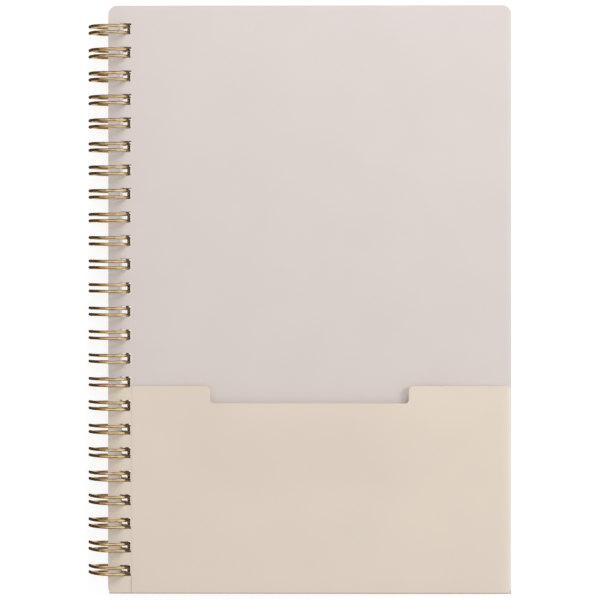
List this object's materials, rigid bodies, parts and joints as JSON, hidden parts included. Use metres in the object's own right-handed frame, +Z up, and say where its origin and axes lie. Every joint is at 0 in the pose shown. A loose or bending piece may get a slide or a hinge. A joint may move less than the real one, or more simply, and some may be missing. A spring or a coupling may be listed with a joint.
{
  "type": "wire-bound notebook",
  "caption": "A5 notebook bound along its long edge with twin-loop wire, its card cover folded up at the foot into a document pocket with a thumb notch.",
  "frame": {"origin": "centre of the bounding box on the surface the notebook lies on", "axes": "+Z up out of the front cover, +Y towards the head of the sheets, +X from the bound edge towards the fore edge"},
  "size_m": [0.1522, 0.2114, 0.0146],
  "materials": {
    "cover_card": "matte",
    "page_paper": "matte",
    "back_board": "matte",
    "gilt_wire": "satin"
  },
  "bodies": {
    "pad": {"binding_wire": "gilt_wire", "page_block": "page_paper"},
    "front_cover": {"front_cover": "cover_card"},
    "back_cover": {"back_cover": "back_board"}
  },
  "joints": [
    {"name": "front_cover_hinge", "type": "hinge", "parent": "pad", "child": "front_cover", "pos_m": [-0.06883, 0, 0.0073], "axis": [0, -1, 0], "range_deg": [0, 180]},
    {"name": "back_cover_hinge", "type": "hinge", "parent": "pad", "child": "back_cover", "pos_m": [-0.06883, 0, 0.0073], "axis": [0, 1, 0], "range_deg": [0, 180]}
  ]
}
